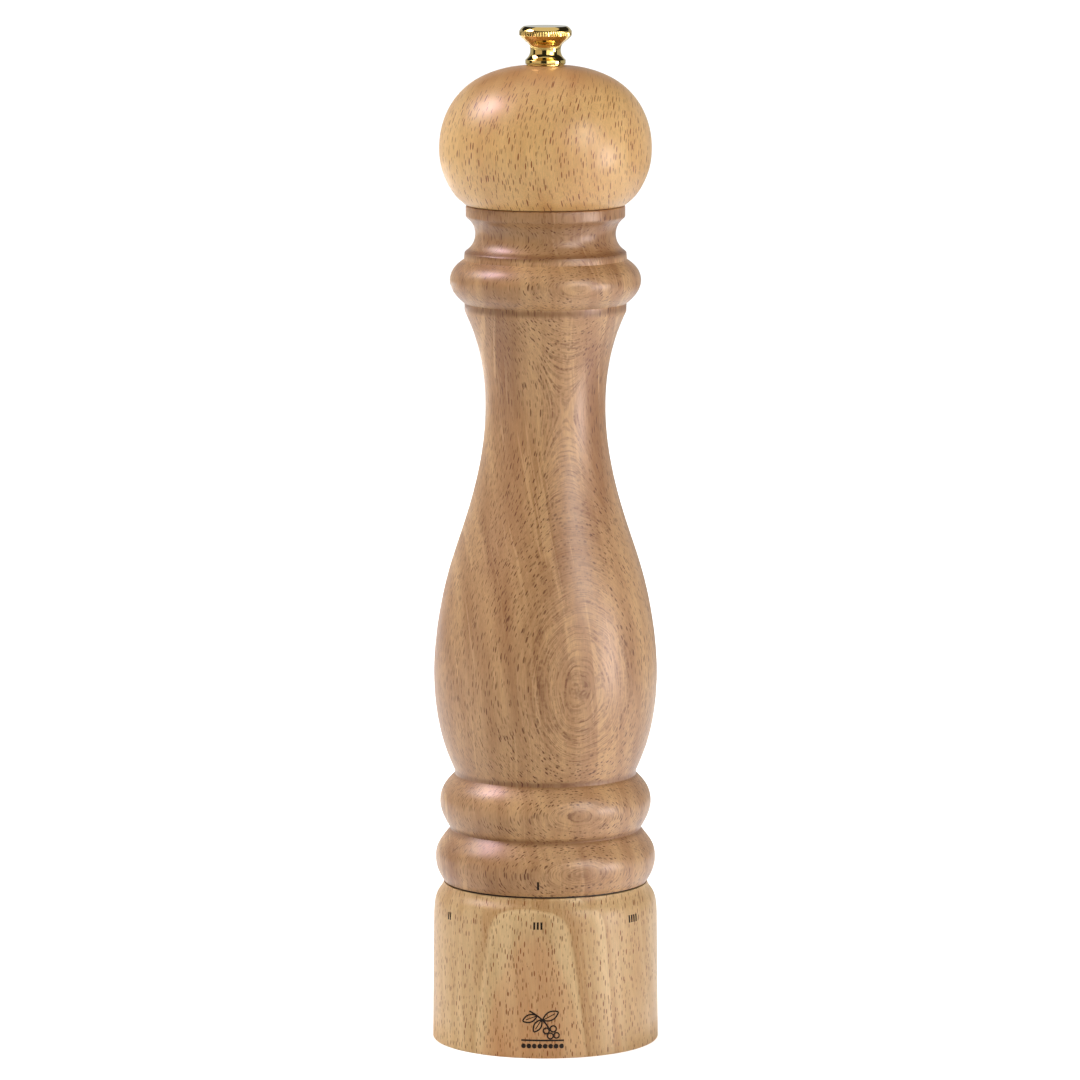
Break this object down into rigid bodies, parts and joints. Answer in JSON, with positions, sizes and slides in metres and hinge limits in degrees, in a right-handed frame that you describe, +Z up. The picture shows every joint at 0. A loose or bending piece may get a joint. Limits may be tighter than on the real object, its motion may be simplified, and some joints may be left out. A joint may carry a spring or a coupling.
{
  "type": "pepper mill",
  "caption": "Turned beech pepper mill: the head turns a grinding cone, a foot ring sets the grind, and a brass knob holds the head.",
  "frame": {"origin": "centre of the foot on the table, at the bottom of the adjusting ring", "axes": "+Z up along the axis of turning; the index stroke on the body faces -Y; +X to its right"},
  "size_m": [0.0668, 0.0668, 0.3],
  "materials": {
    "beech_pale": "satin lacquer, pale steamed beech",
    "beech_body": "satin lacquer, warmer and darker beech",
    "brass_polished": "polished",
    "brass": "as machined",
    "steel": "brushed",
    "zinc_steel": "zinc plated",
    "spring_steel": "dark spring steel",
    "hard_steel": "case hardened, dark",
    "housing_steel": "pressed and turned steel",
    "black_plastic": "moulded, fine matt"
  },
  "bodies": {
    "mill_body": {"body": "beech_body", "mechanism_housing": "housing_steel", "housing_screws": "zinc_steel", "bridge": "steel", "bridge_screws": "zinc_steel", "shaft_bush": "brass", "retaining_ring": "spring_steel", "glide_washer": "black_plastic", "detent_ball": "steel", "detent_spring": "spring_steel"},
    "spindle": {"drive_shaft": "steel", "shaft_circlip": "spring_steel", "thrust_washer": "brass", "spring_washer": "steel", "pressure_spring": "spring_steel", "grinding_cone": "hard_steel", "cone_washer": "steel", "cone_nut": "zinc_steel"},
    "head_unit": {"head": "beech_pale", "drive_plate": "steel", "drive_plate_screws": "zinc_steel"},
    "nut_foot": {"nut_washer": "brass_polished"},
    "nut": {"head_nut": "brass_polished"},
    "ring_unit": {"adjusting_ring": "beech_pale", "ring_sleeve": "black_plastic", "thread_ring": "brass", "thread_ring_screws": "zinc_steel"},
    "stator_unit": {"stator_carrier": "black_plastic", "stator": "hard_steel", "stator_clip": "spring_steel"}
  },
  "joints": [
    {"name": "head_turn", "type": "hinge", "parent": "mill_body", "child": "spindle", "pos_m": [0, 0, 0.0532], "axis": [0, 0, 1], "continuous": true},
    {"name": "head_lift", "type": "slide", "parent": "spindle", "child": "head_unit", "axis": [0, 0, 1], "range_m": [0, 0.065]},
    {"name": "nut_rise", "type": "slide", "parent": "head_unit", "child": "nut_foot", "axis": [0, 0, 1], "range_m": [0, 0.0073]},
    {"name": "nut_turn", "type": "hinge", "parent": "nut_foot", "child": "nut", "pos_m": [0, 0, 0.29], "axis": [0, 0, 1], "range_deg": [0, 3240]},
    {"name": "ring_turn", "type": "hinge", "parent": "mill_body", "child": "ring_unit", "pos_m": [0, 0, 0.03], "axis": [0, 0, 1], "range_deg": [-165, 110]},
    {"name": "stator_travel", "type": "slide", "parent": "mill_body", "child": "stator_unit", "axis": [0, 0, 1], "range_m": [-0.00065, 0.00095]}
  ],
  "couplings": [
    {"joint": "nut_rise", "follows": "nut_turn", "m_per_rad": 0.00012732},
    {"joint": "stator_travel", "follows": "ring_turn", "m_per_rad": -0.00031831}
  ]
}
